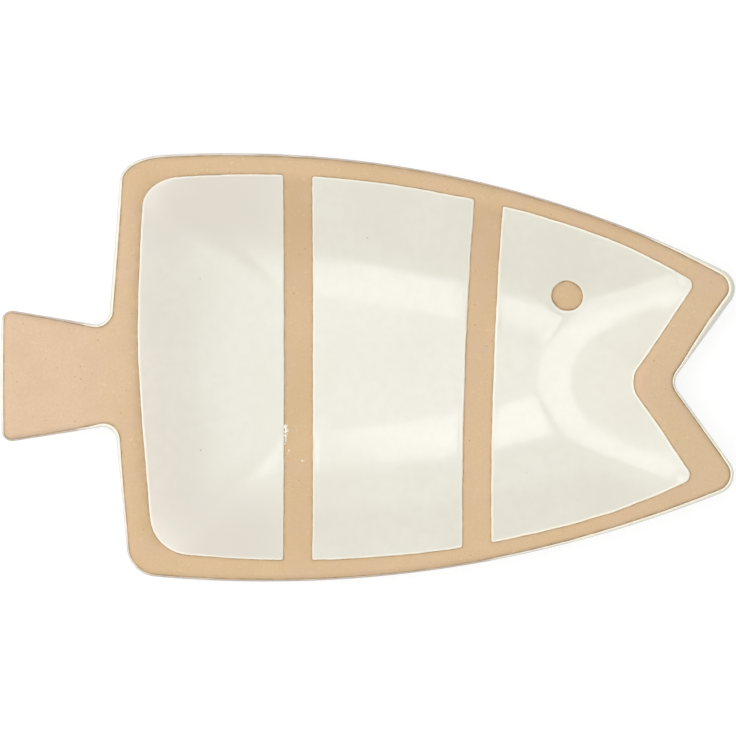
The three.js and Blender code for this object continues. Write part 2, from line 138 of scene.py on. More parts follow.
# Least distance of such points from the lip and from a waxed edge
LIP_MARGIN, ROW_MARGIN, TOP_MARGIN, HIDDEN_MARGIN, PANEL_MARGIN = 0.9, 0.3, 1.2, 1.5, 2.3
BESIDE_EDGE = (0.12, 0.3, 0.6, 1.0)  # rows of points on the clay beside a waxed edge
BEHIND_EDGE = (0.08, 0.2, 0.38, 0.6, 0.85, 1.2, 1.7)  # rows of points on the glaze behind it
ROW_OVERLAP = 0.9  # a row's points nearer to an edge than this share of their step are left out
UNDER_COAT = (0, 0.3, 0.6, 0.85, 1)  # rings on the lip, as shares of the way up to the coat's edge
PAST_COAT, TOP_PAST_COAT = (0.15, 0.35, 0.65, 1.1), 1.6  # rings past it, and the last one
COAT_SHARES = np.array([0, 0.05, 0.12, 0.2, 0.32, 0.46, 0.62, 0.8, 1])  # rings of the coat, from its edge
EDGE_MARKS = (0.15, 0.5, 0.85)  # shares of an edge where a listed width or shift is given
BLEND_PASSES, WAX_PASSES = 30, 3  # rounds of smoothing between them, and of a waxed edge
BATCH = 1000  # points handled at a time
WELD_DISTANCE, SHARP_ANGLE = 0.003, 50  # closer points are one point, sharper edges are shaded sharp
MERGE_DISTANCE, SPREAD_MARGIN = 1e-5, 0.6
AT_EDGE = 0.01  # points closer to the edge of a coat than this are on it
ROUNDING_SHARE = 0.48  # most of an edge that the rounding of one corner takes up

Corner = namedtuple("Corner", "at control radius steps lean", defaults=(0.0,))


def vec(x, y):
    return np.array([x, y], float)


def unit(v):
    return v / np.linalg.norm(v, axis=-1, keepdims=True)


def left_of(v):
    return np.stack([-v[..., 1], v[..., 0]], -1)


def cross(a, b):
    return a[0] * b[1] - a[1] * b[0]


def along(edge, t):
    a, b, c = edge
    t = np.atleast_1d(t)[:, None]
    return (1 - t) ** 2 * a + 2 * t * (1 - t) * b + t * t * c


def way(edge, t):
    a, b, c = edge
    return unit((1 - t) * (b - a) + t * (c - b))


def length(edge):
    points = along(edge, np.linspace(0, 1, 201))
    return np.linalg.norm(np.diff(points, axis=0), axis=1).sum()


def edges_of(outline):
    return [(c.at, c.control, outline[(i + 1) % len(outline)].at) for i, c in enumerate(outline)]


def cubic(a, b, c, d, t):
    t = np.asarray(t, float)[:, None]
    return (1 - t) ** 3 * a + 3 * t * (1 - t) ** 2 * b + 3 * t * t * (1 - t) * c + t ** 3 * d


def trace(outline):
    """Points round an outline, every corner rounded as far as its edges have room."""
    edges = edges_of(outline)
    sizes = [length(edge) for edge in edges]
    trims = []
    for i, corner in enumerate(outline):
        turn = math.acos(np.clip(way(edges[i - 1], 1) @ way(edges[i], 0), -1, 1))
        room = ROUNDING_SHARE * min(sizes[i - 1], sizes[i])
        trims.append(min(corner.radius * math.tan(turn / 2), room))
    points = []
    for i, corner in enumerate(outline):
        after = (i + 1) % len(outline)
        stop = 1 - trims[i] * (1 + corner.lean) / sizes[i - 1]
        start = trims[i] * (1 - corner.lean) / sizes[i]
        finish = 1 - trims[after] * (1 + outline[after].lean) / sizes[i]
        a, b = along(edges[i - 1], stop)[0], along(edges[i], start)[0]
        from_way, to_way = way(edges[i - 1], stop), way(edges[i], start)
        turn = math.acos(np.clip(from_way @ to_way, -1, 1))
        handle = 2 / 3 * math.tan(turn / 4) / math.sin(turn / 2) * np.linalg.norm(b - a)
        steps = np.linspace(0, 1, CORNER_STEPS, endpoint=False)
        leaving, arriving = handle * (1 + corner.lean), handle * (1 - corner.lean)
        points.append(cubic(a, a + leaving * from_way, b - arriving * to_way, b, steps))
        points.append(along(edges[i], np.linspace(start, finish, corner.steps, endpoint=False)))
    return np.concatenate(points)


def inset(outline, distances, radii):
    """The outline moved inwards by one distance for each edge, with new corner radii."""
    edges = edges_of(outline)
    ways = [(way(edge, 0), way(edge, 1)) for edge in edges]
    moved = []
    for i, corner in enumerate(outline):
        arriving, leaving = ways[i - 1][1], ways[i][0]
        mitre = (leaving * distances[i - 1] - arriving * distances[i]) / cross(arriving, leaving)
        moved.append(corner.at + mitre)
    result = []
    for i, corner in enumerate(outline):
        a, b = moved[i], moved[(i + 1) % len(moved)]
        turn = cross(*ways[i])
        control = (a + b) / 2
        if abs(turn) > 1e-6:
            control = a + ways[i][0] * cross(b - a, ways[i][1]) / turn
        result.append(Corner(a, control, radii[i], corner.steps))
    return result


def edge(at, to, radius, steps, bow=0.0, lean=0.0):
    control = (at + to) / 2 - 2 * bow * left_of(unit(to - at))
    return Corner(at, control, radius, steps, lean)


def crossing(a, b, y):
    return a + (b - a) * (y - a[1]) / (b[1] - a[1])


def normals(loop):
    """Inward normals of a counterclockwise loop."""
    return left_of(unit(np.roll(loop, -1, 0) - np.roll(loop, 1, 0)))


def raised(plan, z):
    return np.column_stack([plan, np.broadcast_to(z, len(plan))])


# Plan of the plate
back_upper = vec(-BACK_SKEW, BACK_WIDTH / 2) - MIDDLE
back_lower = vec(BACK_SKEW, -BACK_WIDTH / 2) - MIDDLE
back_peak = vec(-BACK_PEAK, BACK_PEAK_ACROSS) - MIDDLE
mouth_lower = vec(BODY_LENGTH, MOUTH_SHIFT - MOUTH_WIDTH / 2) - MIDDLE
mouth_upper = vec(BODY_LENGTH, MOUTH_SHIFT + MOUTH_WIDTH / 2) - MIDDLE
notch = vec(BODY_LENGTH - NOTCH_DEPTH, MOUTH_SHIFT) - MIDDLE
neck_upper = crossing(back_upper, back_peak, TAIL_SHIFT + NECK_WIDTH / 2 - MIDDLE[1])
neck_lower = crossing(back_lower, back_peak, TAIL_SHIFT - NECK_WIDTH / 2 - MIDDLE[1])
tail_upper = vec(-TAIL_REACH, TAIL_SHIFT + TAIL_END_WIDTH / 2) - MIDDLE
tail_lower = vec(-TAIL_REACH, TAIL_SHIFT - TAIL_END_WIDTH / 2) - MIDDLE
head = [
    edge(back_lower, mouth_lower, BACK_RADIUS, SIDE_STEPS, LOWER_BOW),
    edge(mouth_lower, notch, TIP_RADIUS, SHORT_STEPS),
    edge(notch, mouth_upper, NOTCH_RADIUS, SHORT_STEPS),
    edge(mouth_upper, back_upper, TIP_RADIUS, SIDE_STEPS, UPPER_BOW),
]
body_outline = [Corner(back_upper, back_peak, BACK_RADIUS, BACK_STEPS)] + head
plate_outline = [
    edge(back_upper, neck_upper, BACK_RADIUS + UPPER_SOFTNESS, SHORT_STEPS, lean=UPPER_LEAN),
    edge(neck_upper, tail_upper, NECK_RADIUS, SHORT_STEPS),
    edge(tail_upper, tail_lower, TAIL_RADIUS, SHORT_STEPS, TAIL_END_BOW),
    edge(tail_lower, neck_lower, TAIL_RADIUS, SHORT_STEPS),
    edge(neck_lower, back_lower, NECK_RADIUS, SHORT_STEPS),
    edge(back_lower, mouth_lower, BACK_RADIUS + LOWER_SOFTNESS, SIDE_STEPS, LOWER_BOW),
] + head[1:]


def in_well(setback, upper=WELL_BACK_RADIUS, lower=WELL_BACK_RADIUS, tip=WELL_TIP_RADIUS):
    back, side, mouth = BACK_RIM + setback, SIDE_RIM + setback, MOUTH_RIM + setback
    return inset(body_outline, [back, side, mouth, mouth, side], [upper, lower, tip, WELL_NOTCH_RADIUS, tip])


def round_outline(outline, values):
    """Values given at the corners and along the edges of an outline, for each point of its trace."""
    marks, start = [], 0
    for corner in outline:
        marks.append(start + CORNER_STEPS / 2)
        marks += [start + CORNER_STEPS + share * corner.steps for share in EDGE_MARKS]
        start += CORNER_STEPS + corner.steps
    blend = np.interp(np.arange(start), marks, values, period=start)
    for _ in range(BLEND_PASSES):
        blend = blend / 2 + (np.roll(blend, 1) + np.roll(blend, -1)) / 4
    return blend


plate_edge = trace(plate_outline)
clay_edge = plate_edge + (BOND + GLAZE) * normals(plate_edge)
clay_inward = normals(clay_edge)
well_outline = in_well(0)
well_plan = trace(well_outline)
glaze_outline = in_well(GLAZE_SETBACK, GLAZE_UPPER_RADIUS, GLAZE_LOWER_RADIUS, GLAZE_TIP_RADIUS)
glaze_ring = trace(glaze_outline)
glaze_ring = glaze_ring + round_outline(glaze_outline, WAX_LINE)[:, None] * normals(glaze_ring)
floor_corners = [vec(FLOOR_START + along_floor, across) - MIDDLE for along_floor, across in (
    (0, FLOOR_WIDTH / 2), (0, -FLOOR_WIDTH / 2),
    (FLOOR_LENGTH, -FLOOR_END_WIDTH / 2), (FLOOR_LENGTH, FLOOR_END_WIDTH / 2))]
floor_steps = [BACK_STEPS, SIDE_STEPS, 2 * SHORT_STEPS + CORNER_STEPS, SIDE_STEPS]
floor_plan = trace([
    edge(at, floor_corners[(i + 1) % 4], FLOOR_RADIUS, floor_steps[i])
    for i, at in enumerate(floor_corners)])


# Surfaces, each a pair of points and faces
def loft(rings):
    count = len(rings[0])
    k = np.arange(count)
    after = (k + 1) % count
    faces = []
    for i in range(len(rings) - 1):
        a, b = i * count, (i + 1) * count
        faces.extend(np.column_stack([a + k, a + after, b + after, b + k]).tolist())
    return np.concatenate(rings), faces


def inside(points, loops):
    odd = np.zeros(len(points), bool)
    for loop in loops:
        a, b = loop, np.roll(loop, -1, 0)
        rise = np.where(b[:, 1] == a[:, 1], 1e-12, b[:, 1] - a[:, 1])
        for start in range(0, len(points), BATCH):
            x, y = points[start:start + BATCH, :1], points[start:start + BATCH, 1:2]
            spans = (a[:, 1] > y) != (b[:, 1] > y)
            at = a[:, 0] + (y - a[:, 1]) * (b[:, 0] - a[:, 0]) / rise
            odd[start:start + BATCH] ^= (spans & (x < at)).sum(1) % 2 == 1
    return odd


def distance(points, line):
    """Distance of plan points from a line of straight pieces."""
    step = np.diff(line, axis=0)
    near = np.empty(len(points))
    for start in range(0, len(points), BATCH):
        gap = points[start:start + BATCH, None] - line[:-1]
        t = np.clip((gap * step).sum(2) / (step ** 2).sum(1), 0, 1)
        near[start:start + BATCH] = np.linalg.norm(gap - t[..., None] * step, axis=2).min(1)
    return near


def clearance(points, loops):
    """Distance of plan points from the nearest of some closed loops."""
    return np.min([distance(points, np.concatenate([loop, loop[:1]])) for loop in loops], 0)


def honeycomb(loop, spacing):
    low, high = loop.min(0), loop.max(0)
    rows = np.arange(low[1], high[1], spacing * math.sqrt(3) / 2)
    points = []
    for i, y in enumerate(rows):
        x = np.arange(low[0] + (i % 2) * spacing / 2, high[0], spacing)
        points.append(np.column_stack([x, np.full(len(x), y)]))
    return np.concatenate(points)


def turned_up(plan, face):
    a, b, c = plan[face]
    return face if cross(b - a, c - a) > 0 else face[::-1]


def fill(loops, extra):
    """Triangles between closed loops, with extra points in between, facing up."""
    points = np.concatenate(loops + [extra])
    sides, start = [], 0
    for loop in loops:
        k = np.arange(len(loop))
        sides.extend(np.column_stack([start + k, start + (k + 1) % len(loop)]).tolist())
        start += len(loop)
    made = delaunay_2d_cdt([Vector(p) for p in points], sides, [], 0, MERGE_DISTANCE)
    plan = np.array([tuple(p) for p in made[0]])
    faces = np.array([turned_up(plan, face) for face in made[2]])
    kept = inside(plan[faces].mean(1), loops)
    return plan, faces[kept].tolist()


def spread(loops, spacing):
    points = honeycomb(loops[0], spacing)
    points = points[inside(points, loops)]
    return points[clearance(points, loops) > SPREAD_MARGIN * spacing]


def flat(loops, z, spacing, up=True):
    plan, faces = fill(loops, spread(loops, spacing))
    return raised(plan, z), faces if up else [f[::-1] for f in faces]


def ripple(points, size, seed):
    """Smooth noise from -1 to 1 at plan points, with humps about this size."""
    return np.array([noise.noise(Vector((p[0] / size, p[1] / size, seed))) for p in points])


def rippled(points, waves):
    return sum(share * ripple(points, size, seed) for share, size, seed in waves)


# Waxed edges: loops that bound the glaze
def resampled(loop, spacing):
    closed = np.concatenate([loop, loop[:1]])
    run = np.concatenate([[0], np.cumsum(np.linalg.norm(np.diff(closed, axis=0), axis=1))])
    count = int(run[-1] / spacing)
    at = np.arange(count) * run[-1] / count
    return np.column_stack([np.interp(at, run, closed[:, k]) for k in (0, 1)])


def wavered(loop, amount=EDGE_WAVER):
    loop = resampled(loop, EDGE_SPACING)
    for _ in range(WAX_PASSES):
        loop = loop / 2 + (np.roll(loop, 1, 0) + np.roll(loop, -1, 0)) / 4
    push = rippled(loop, WAX_WAVES)
    return loop + (amount * push)[:, None] * normals(loop)


def cut(loop, keep):
    """The part of a loop where keep is positive, closed by a straight line."""
    values = keep(loop)
    points = []
    for i in range(len(loop)):
        j = (i + 1) % len(loop)
        if values[i] > 0:
            points.append(loop[i])
        if values[i] * values[j] < 0:
            points.append(loop[i] + values[i] / (values[i] - values[j]) * (loop[j] - loop[i]))
    return np.array(points)


lean = math.tan(math.radians(HEAD_BAND_LEAN))


def band_side(along_plate, side, tilt=0.0):
    place = along_plate - MIDDLE[0] + BAND_SHIFT
    return lambda p: p[:, 0] - (place + side * BAND_WIDTH / 2 + (p[:, 1] + MIDDLE[1]) * tilt)


def bowed(loop, sign):
    near = np.exp(-((loop[:, 0] - (HEAD_BAND - MIDDLE[0])) / BOW_REACH) ** 2)
    bow = HEAD_BAND_BOW * near * (1 - (loop[:, 1] / BOW_SPAN) ** 2)
    return loop - sign * np.column_stack([bow, np.zeros(len(loop))])


def without(side):
    return lambda p: -side(p)


straight = bowed(glaze_ring, -1)
tail_loop = wavered(cut(glaze_ring, without(band_side(TAIL_BAND, -1))))
middle_cut = cut(cut(straight, band_side(TAIL_BAND, 1)), without(band_side(HEAD_BAND, -1, lean)))
middle_loop = wavered(bowed(resampled(middle_cut, EDGE_SPACING), 1))
head_cut = cut(straight, band_side(HEAD_BAND, 1, lean))
head_loop = wavered(bowed(resampled(head_cut, EDGE_SPACING), 1))
turns = np.linspace(0, 2 * math.pi, EYE_STEPS, endpoint=False)
eye_middle = vec(EYE_ALONG, EYE_ACROSS) - MIDDLE + EYE_SHIFT
eye_reach = EYE_DIAMETER / 2 * (EYE_GROWTH + EYE_STRETCH * np.cos(2 * (turns - math.radians(EYE_TURN))))
eye_circle = eye_middle + eye_reach[:, None] * np.column_stack([np.cos(turns), np.sin(turns)])
eye_loop = wavered(eye_circle, 2 * EDGE_WAVER)
panel_loops = [tail_loop, middle_loop, head_loop, eye_loop]


# The well: four walls that fall from their own edges and meet in rounded valleys
def wall(line, width, break_reach, cove):
    """Drop below the rim at plan points, from how far they lie from the wall's own edge."""
    section = cubic(
        vec(0, 0), vec(break_reach, 0), vec(width - cove, WELL_DEPTH), vec(width, WELL_DEPTH),
        np.linspace(0, 1, SECTION_STEPS))
    return lambda plan: np.interp(distance(plan, line), section[:, 0], section[:, 1])


def valley(a, b, rounding):
    """The lesser of two drops, rounded where they meet between the rim and the floor."""
    above_a, above_b = WELL_DEPTH - a, WELL_DEPTH - b
    above = 2 * above_a * above_b / np.maximum(above_a + above_b, 1e-9) / WELL_DEPTH
    below = (a + b) / (a + b + 2 * VALLEY_START)
    wide, most = rounding * above * below, VALLEY_TAPER * np.maximum(a + b, 1e-9)
    return (a + b - np.hypot(a - b, wide / (1 + (wide / most) ** 4) ** 0.25)) / 2


well_edges = [along(side, np.linspace(0, 1, WALL_EDGE_STEPS)) for side in edges_of(well_outline)]
back_line, lower_line, upper_line = well_edges[0], well_edges[1], well_edges[4]
lower_tip, throat_corner, upper_tip = [corner.at for corner in well_outline[2:]]
throat_ways = unit(lower_tip - throat_corner), unit(upper_tip - throat_corner)
throat_turn = math.acos(-throat_ways[0] @ throat_ways[1])
throat_trim = WELL_NOTCH_RADIUS * math.tan(throat_turn / 2)
throat_start, throat_finish = [throat_corner + throat_trim * way_out for way_out in throat_ways]
throat = along((throat_start, throat_corner, throat_finish), np.linspace(0, 1, THROAT_STEPS))
mouth_line = np.concatenate([[lower_tip], throat, [upper_tip]])
well_loop = np.concatenate([line[:-1] for line in (back_line, lower_line, mouth_line, upper_line)])
back_wall = wall(back_line, BACK_WALL, BACK_BREAK, BACK_COVE)
lower_wall = wall(lower_line, LOWER_WALL, SIDE_BREAK, LOWER_COVE)
upper_wall = wall(upper_line, UPPER_WALL, SIDE_BREAK, UPPER_COVE)
mouth_wall = wall(mouth_line, MOUTH_WALL, MOUTH_BREAK, MOUTH_COVE)


def height(plan):
    """Height of the fired clay at plan points."""
    sides = np.minimum(lower_wall(plan), upper_wall(plan))
    drop = valley(valley(sides, back_wall(plan), BACK_VALLEY), mouth_wall(plan), MOUTH_VALLEY)
    return HEIGHT - np.where(inside(plan, [well_loop]), np.maximum(drop, 0), 0)


def under_plan(reach):
    """Ring under the well, at a plan distance taken along the upper wall."""
    return well_plan + (floor_plan - well_plan) * reach / UPPER_WALL


def under_ring(reach):
    plan = under_plan(reach)
    return raised(plan, height(plan) - RIM_THICKNESS)


# Rounded edges of the rim, grown outwards by a coat
lip_radius = min(LIP_RADIUS, ROUNDING_SHARE * RIM_THICKNESS)
under_radius = min(UNDER_RADIUS, ROUNDING_SHARE * RIM_THICKNESS)


def lip_ring(run, grown=0.0):
    """Ring on the rounded lip, at a distance run up the clay from the side of the rim."""
    angle = np.minimum(run / lip_radius, math.pi / 2)
    beyond = np.maximum(run - lip_radius * math.pi / 2, 0)
    plan = clay_edge + (lip_radius + beyond - (lip_radius + grown) * np.cos(angle))[:, None] * clay_inward
    return raised(plan, HEIGHT - lip_radius + (lip_radius + grown) * np.sin(angle))


def under_rings(grown=0.0):
    rings = []
    for degrees in range(-90, 1, 15):
        angle = math.radians(degrees)
        plan = clay_edge + (under_radius - (under_radius + grown) * math.cos(angle)) * clay_inward
        z = HEIGHT - RIM_THICKNESS + under_radius + (under_radius + grown) * math.sin(angle)
        rings.append(raised(plan, z))
    return rings


def climb(reach):
    """Distance up the clay of the lip to a line that lies this far in from the side."""
    on_arc = lip_radius * np.arccos(np.clip(1 - reach / lip_radius, -1, 1))
    return np.where(reach < lip_radius, on_arc, lip_radius * (math.pi / 2 - 1) + reach)


coat_reach = round_outline(plate_outline, LIP_COAT)
for share, size, seed in LIP_WAVES:
    coat_reach = coat_reach + share * ripple(clay_edge, size, seed)
coat_reach = np.maximum(coat_reach, LEAST_COAT)
coat_line = climb(coat_reach)


def swell(gap):
    """Thickness of a coat at a distance in from its edge, with a slight bead."""
    share = np.clip(gap / MENISCUS, 0, 1)
    bead = BEAD_RISE * np.exp(-((gap - BEAD_PLACE) / BEAD_WIDTH) ** 2)
    return GLAZE * np.sqrt(1 - (1 - share) ** 2) * (1 + bead)


def highlight_line(gap):
    """Strength of the painted highlight line at a distance in from the edge of a coat."""
    return np.exp(-(np.maximum(gap - HIGHLIGHT_WIDTH, 0) / HIGHLIGHT_FADE) ** 2)


def build(name, surfaces, material, nodes, edge_values):
    """A welded mesh piece from surfaces in millimetres, with an edge value for each point."""
    points, faces, start = [], [], 0
    for surface_points, surface_faces in surfaces:
        points.append(surface_points)
        faces += [[start + v for v in face] for face in surface_faces]
        start += len(surface_points)
    mesh = bpy.data.meshes.new(name)
    mesh.from_pydata((np.concatenate(points) * MM).tolist(), [], faces)
    layer = mesh.attributes.new("edge", "FLOAT", "POINT")
    layer.data.foreach_set("value", np.concatenate(edge_values).astype(np.float32))
    welded = bmesh.new()
    welded.from_mesh(mesh)
    bmesh.ops.remove_doubles(welded, verts=welded.verts, dist=WELD_DISTANCE * MM)
    welded.to_mesh(mesh)
    welded.free()
    mesh.shade_smooth()
    mesh.set_sharp_from_angle(angle=math.radians(SHARP_ANGLE))
    mesh.materials.append(material)
    piece = bpy.data.objects.new(name, mesh)
    bpy.context.scene.collection.objects.link(piece)
    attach(piece, "root")
    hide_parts(*nodes)


# Materials: colours are linear, places are in metres in the plate's frame
CLAY_DEEP, CLAY_LIGHT = (0.705, 0.505, 0.292), (0.74, 0.533, 0.33)
CLAY_UPPER_SHADE = (0.62, 0.435, 0.258)  # painted shade on the upper side of the well
CLAY_FRONT = (0.735, 0.553, 0.36)  # round the mouth
CLAY_TAIL = (0.765, 0.562, 0.388)
CLAY_GRAIN, CLAY_PALE_GRAIN = (0.6, 0.41, 0.225), (0.83, 0.66, 0.46)
CLAY_SPECK, CLAY_BLUSH, CLAY_STAIN_AND_SHADE = (0.3, 0.185, 0.09), (0.7, 0.49, 0.34), (0.27, 0.172, 0.08)
GLAZE_DEEP, GLAZE_LIGHT = (0.79, 0.77, 0.672), (0.815, 0.793, 0.702)
GLAZE_BESIDE_SHADE = (0.765, 0.715, 0.637)  # painted shade on the sides next to the back wall
GLAZE_WARM = (0.85, 0.783, 0.702)  # on the back wall
GLAZE_GRAIN, GLAZE_PINHOLE = (0.76, 0.742, 0.64), (0.2, 0.14, 0.08)
GLAZE_HIGHLIGHT_AND_PALE = (0.97, 0.91, 0.76)
GLAZE_THIN = (0.5, 0.4, 0.31)  # thin coat on the lip, with the clay showing through
GLAZE_IOR, CLAY_GLOSS = 1.52, 0.3

# Where a tint or a painted shade begins and where it is full
UPPER_SHADE_SUNK = (0.0247, 0.0225)
UPPER_SHADE_ACROSS = (0.02, 0.065)
FRONT_ALONG = (0.09, 0.13)
TAIL_ALONG = (-0.09, -0.125)
BESIDE_SHADE_ALONG, BESIDE_SHADE_ACROSS = (-0.02, -0.055), (0.04, 0.066)
WARM_ALONG, WARM_ACROSS = (-0.068, -0.092), (0.055, -0.045)
SOFTER_ALONG = (-0.024, -0.036)  # the tail panel is less glossy, from under the first band on


def feed(tree, socket, value):
    """Link a socket to another one, or set its value or colour."""
    if isinstance(value, bpy.types.NodeSocket):
        tree.links.new(value, socket)
    elif isinstance(value, tuple) and len(value) == 3:
        socket.default_value = (*value, 1)
    else:
        socket.default_value = value


def node(tree, kind, settings=None, **inputs):
    """A new node; an input is named by its label, or by its number after an underscore."""
    made = tree.nodes.new(kind)
    for key, value in (settings or {}).items():
        setattr(made, key, value)
    for key, value in inputs.items():
        label = int(key[1:]) if key[1:].isdigit() else key.replace("_", " ")
        feed(tree, made.inputs[label], value)
    return made


def grain(tree, place, scale, detail=2.0, roughness=0.5):
    made = node(tree, "ShaderNodeTexNoise", Vector=place, Scale=scale, Detail=detail, Roughness=roughness)
    return made.outputs[0]


def remap(tree, value, low, high, to_low=0.0, to_high=1.0):
    settings = {"interpolation_type": "SMOOTHSTEP"}
    made = node(tree, "ShaderNodeMapRange", settings, _0=value, _1=low, _2=high, _3=to_low, _4=to_high)
    return made.outputs[0]


def mixed(tree, factor, a, b):
    made = node(tree, "ShaderNodeMix", {"data_type": "RGBA"}, _0=factor, _6=a, _7=b)
    return made.outputs[2]


def sums(tree, kind, a, b=0.0):
    return node(tree, "ShaderNodeMath", {"operation": kind}, _0=a, _1=b).outputs[0]


def times(tree, a, b):
    return sums(tree, "MULTIPLY", a, b)


def scattered(tree, place, scale, size, chance):
    """Round dots in some cells of a loose grid; size and chance each give both ends of a soft limit."""
    cells = node(tree, "ShaderNodeTexVoronoi", Vector=place, Scale=scale)
    draw = node(tree, "ShaderNodeSeparateColor", Color=cells.outputs["Color"]).outputs[0]
    return times(tree, remap(tree, cells.outputs["Distance"], *size), remap(tree, draw, *chance))


def finish_material(tree, shader, colour, roughness, relief, strength, depth):
    tree.links.new(colour, shader.inputs["Base Color"])
    tree.links.new(roughness, shader.inputs["Roughness"])
    bump = node(tree, "ShaderNodeBump", Strength=strength, Distance=depth, Height=relief)
    tree.links.new(bump.outputs[0], shader.inputs["Normal"])


def new_material(name):
    made = bpy.data.materials.new(name)
    made.use_nodes = True
    tree = made.node_tree
    place = node(tree, "ShaderNodeTexCoord").outputs["Object"]
    border = node(tree, "ShaderNodeAttribute", {"attribute_name": "edge"}).outputs["Fac"]
    return made, tree, place, border, tree.nodes["Principled BSDF"]


def clay_material():
    """Bare clay; the edge value of a point is how strongly it is darkened: a dark fringe beside the glaze,
    and near the back painted shade.
    """
    made, tree, place, border, shader = new_material("bare_stoneware")
    axes = node(tree, "ShaderNodeSeparateXYZ", Vector=place).outputs
    cloud = remap(tree, grain(tree, place, scale=28, detail=3), 0.35, 0.65)
    colour = mixed(tree, cloud, CLAY_DEEP, CLAY_LIGHT)
    sunk = remap(tree, axes["Z"], *UPPER_SHADE_SUNK, 0.12, 0.8)
    # painted shade: the clay on the upper side of the well is darker, most of all down in the well
    upper = times(tree, remap(tree, axes["Y"], *UPPER_SHADE_ACROSS), sunk)
    colour = mixed(tree, upper, colour, CLAY_UPPER_SHADE)
    colour = mixed(tree, remap(tree, axes["X"], *FRONT_ALONG, 0.0, 0.6), colour, CLAY_FRONT)
    colour = mixed(tree, remap(tree, axes["X"], *TAIL_ALONG), colour, CLAY_TAIL)
    fine = grain(tree, place, scale=1500, detail=4, roughness=0.65)
    colour = mixed(tree, remap(tree, fine, 0.3, 0.7, 0.0, 0.34), colour, CLAY_GRAIN)
    pale = remap(tree, grain(tree, place, scale=620), 0.62, 0.74, 0.0, 0.35)
    colour = mixed(tree, pale, colour, CLAY_PALE_GRAIN)
    speck = scattered(tree, place, scale=420, size=(0.15, 0.08), chance=(0.72, 0.95))
    colour = mixed(tree, times(tree, speck, 0.65), colour, CLAY_SPECK)
    blush = remap(tree, grain(tree, place, scale=75), 0.45, 0.7, 0.0, 0.45)
    colour = mixed(tree, blush, colour, CLAY_BLUSH)
    # dark fringe beside the glaze, and near the back painted shade of the rim's inner rounding
    stain_and_shade_share = times(tree, border, remap(tree, grain(tree, place, scale=260), 0.3, 0.65, 0.45, 0.95))
    colour = mixed(tree, stain_and_shade_share, colour, CLAY_STAIN_AND_SHADE)
    shader.inputs["Specular IOR Level"].default_value = CLAY_GLOSS
    coarse = grain(tree, place, scale=500, detail=3, roughness=0.6)
    relief = sums(tree, "ADD", times(tree, fine, 0.5), coarse)
    rough = remap(tree, fine, 0.3, 0.7, 0.78, 0.92)
    finish_material(tree, shader, colour, rough, relief, strength=0.35, depth=0.00012)
    return made


def glaze_material():
    """Cream glaze; the edge value is up to 1 on its painted highlight line and down to -1 where it is thin.
    """
    made, tree, place, border, shader = new_material("cream_glaze")
    axes = node(tree, "ShaderNodeSeparateXYZ", Vector=place).outputs
    cloud = remap(tree, grain(tree, place, scale=35), 0.3, 0.7)
    colour = mixed(tree, cloud, GLAZE_DEEP, GLAZE_LIGHT)
    # painted shade on the glaze of the side walls next to the back wall
    across = remap(tree, sums(tree, "ABSOLUTE", axes["Y"]), *BESIDE_SHADE_ACROSS)
    beside = times(tree, remap(tree, axes["X"], *BESIDE_SHADE_ALONG), across)
    colour = mixed(tree, beside, colour, GLAZE_BESIDE_SHADE)
    low_back = remap(tree, axes["Y"], *WARM_ACROSS, 0.25, 1.0)
    warm = times(tree, remap(tree, axes["X"], *WARM_ALONG), low_back)
    colour = mixed(tree, warm, colour, GLAZE_WARM)
    fine = remap(tree, grain(tree, place, scale=240, detail=3), 0.35, 0.7, 0.0, 0.35)
    colour = mixed(tree, fine, colour, GLAZE_GRAIN)
    pin = scattered(tree, place, scale=75, size=(0.03, 0.016), chance=(0.7, 0.8))
    colour = mixed(tree, times(tree, pin, 0.75), colour, GLAZE_PINHOLE)
    # painted highlight along the edge of a coat; the crumbs get this paler colour too
    colour = mixed(tree, remap(tree, border, 0.0, 1.0, 0.0, 0.9), colour, GLAZE_HIGHLIGHT_AND_PALE)
    colour = mixed(tree, remap(tree, border, 0.0, -1.0, 0.0, 0.8), colour, GLAZE_THIN)
    shader.inputs["IOR"].default_value = GLAZE_IOR
    softer = remap(tree, axes["X"], *SOFTER_ALONG, 0.0, 0.065)
    gloss = remap(tree, grain(tree, place, scale=60, detail=3), 0.3, 0.7, 0.1, 0.15)
    rough = sums(tree, "ADD", gloss, softer)
    wave = sums(tree, "ADD", grain(tree, place, scale=90), times(tree, grain(tree, place, scale=500), 0.12))
    relief = sums(tree, "SUBTRACT", wave, times(tree, pin, 1.5))
    finish_material(tree, shader, colour, rough, relief, strength=0.25, depth=0.0001)
    return made


bare = clay_material()
cream = glaze_material()

# Fired clay: the top is one surface with fine points along every waxed edge
under_coat = [coat_line * share for share in UNDER_COAT]
past_coat = [coat_line + step for step in PAST_COAT]
top_run = np.maximum(coat_line + TOP_PAST_COAT, lip_radius * math.pi / 2)
lip_runs = under_coat + past_coat + [top_run]
lip_rings = [lip_ring(run) for run in lip_runs]
top_loop = lip_rings[-1][:, :2]
edge_points = []
for loop in panel_loops:
    outward = normals(loop) if loop is eye_loop else -normals(loop)
    for step in BESIDE_EDGE:
        ring = loop + step * outward
        edge_points.append(ring[clearance(ring, panel_loops) > ROW_OVERLAP * step])
grid = honeycomb(top_loop, TOP_SPACING)
grid = grid[inside(grid, [top_loop]) & (clearance(grid, [top_loop]) > LIP_MARGIN)]
grid = grid[clearance(grid, panel_loops) > TOP_MARGIN]
under_glaze = inside(grid, panel_loops)
sparse = honeycomb(top_loop, HIDDEN_SPACING)
sparse = sparse[inside(sparse, panel_loops) & (clearance(sparse, panel_loops) > HIDDEN_MARGIN)]
edge_points = np.concatenate(edge_points)
edge_points = edge_points[clearance(edge_points, [top_loop]) > ROW_MARGIN]
top_extra = np.concatenate(panel_loops + [edge_points, grid[~under_glaze], sparse])
